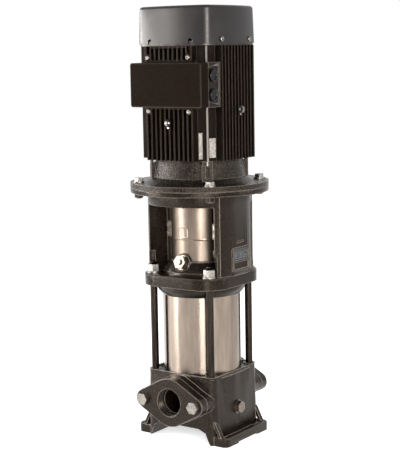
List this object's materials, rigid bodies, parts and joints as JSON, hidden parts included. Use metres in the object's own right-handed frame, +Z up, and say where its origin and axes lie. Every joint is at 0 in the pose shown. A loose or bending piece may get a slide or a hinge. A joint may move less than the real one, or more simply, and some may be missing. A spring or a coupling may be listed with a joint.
{
  "type": "vertical multistage pump",
  "caption": "Vertical in-line multistage centrifugal pump with oval screwed port flanges and a finned flange motor standing on its stool.",
  "frame": {"origin": "on the ground, in the middle of the four foundation bolt holes, on the pump's axis", "axes": "+Z up along the shaft, +Y out of the outlet, -Y out of the inlet and towards the terminal box, +X towards the drain plug"},
  "size_m": [0.3, 0.3, 0.9315],
  "materials": {
    "cast_iron_black": "black dip coat on sand-cast iron",
    "motor_black": "satin black paint on cast aluminium",
    "lid_black": "matt black powder coat",
    "cover_black": "satin black on pressed steel",
    "stainless_sheet": "cold-rolled, fine vertical grain",
    "zinc_steel": "zinc plated, slightly grainy",
    "stay_steel": "blackened steel bar",
    "plug_steel": "machined stainless",
    "shaft_steel": "ground",
    "impeller_steel": "pressed and welded stainless",
    "coupling_iron": "machined cast iron",
    "lamination_steel": "stacked sheet",
    "copper_winding": "varnished copper wire",
    "seal_rubber": "moulded",
    "black_plastic": "moulded",
    "terminal_brass": "machined"
  },
  "bodies": {
    "pump": {"base_casting": "cast_iron_black", "inlet_flange": "cast_iron_black", "outlet_flange": "cast_iron_black", "port_gaskets": "seal_rubber", "port_flange_bolts": "zinc_steel", "drain_plug": "plug_steel", "plug_washers": "plug_steel", "outer_sleeve": "stainless_sheet", "sleeve_orings": "seal_rubber", "stay_bolts": "stay_steel", "stay_bolt_washers": "zinc_steel", "stay_bolt_nuts": "zinc_steel", "pump_head": "cast_iron_black", "motor_stool": "cast_iron_black", "vent_plug": "plug_steel", "coupling_guard_front": "stainless_sheet", "coupling_guard_rear": "stainless_sheet", "guard_screws": "zinc_steel", "inlet_part": "stainless_sheet", "lower_bush": "seal_rubber", "stage_chambers": "stainless_sheet", "neck_rings": "seal_rubber", "guide_vanes": "stainless_sheet", "outlet_part": "stainless_sheet", "stack_straps": "stainless_sheet", "seal_plate": "plug_steel", "drive_end_bracket": "motor_black", "bracket_screws": "zinc_steel", "motor_flange_bolts": "zinc_steel", "motor_flange_washers": "zinc_steel", "motor_flange_nuts": "zinc_steel", "motor_housing": "motor_black", "stator_core": "lamination_steel", "stator_windings": "copper_winding", "bearing_outer_rings": "shaft_steel", "fan_end_shield": "motor_black", "fan_cover": "cover_black", "fan_cover_screws": "zinc_steel", "terminal_box_base": "motor_black", "terminal_box_lid": "lid_black", "lid_screws": "zinc_steel", "cable_entry_plugs": "black_plastic", "terminal_board": "black_plastic", "terminal_studs": "terminal_brass", "terminal_box_screws": "zinc_steel", "lifting_lugs": "zinc_steel"},
    "rotor": {"impellers": "impeller_steel", "impeller_spacers": "impeller_steel", "pump_shaft": "shaft_steel", "seal_rotating_head": "plug_steel", "coupling_half_front": "coupling_iron", "coupling_half_rear": "coupling_iron", "coupling_screws": "zinc_steel", "coupling_pin": "shaft_steel", "motor_shaft": "shaft_steel", "rotor_core": "lamination_steel", "bearing_inner_rings": "shaft_steel", "bearing_balls": "shaft_steel", "cooling_fan": "black_plastic"},
    "vent_screw": {"vent_screw": "plug_steel"}
  },
  "joints": [
    {"name": "rotor_spin", "type": "hinge", "parent": "pump", "child": "rotor", "pos_m": [0, 0, 0.5], "axis": [0, 0, 1], "continuous": true},
    {"name": "vent_screw_turn", "type": "hinge", "parent": "pump", "child": "vent_screw", "pos_m": [0, -0.07, 0.389], "axis": [0, -0.9659, 0.2588], "range_deg": [0, 360]}
  ]
}
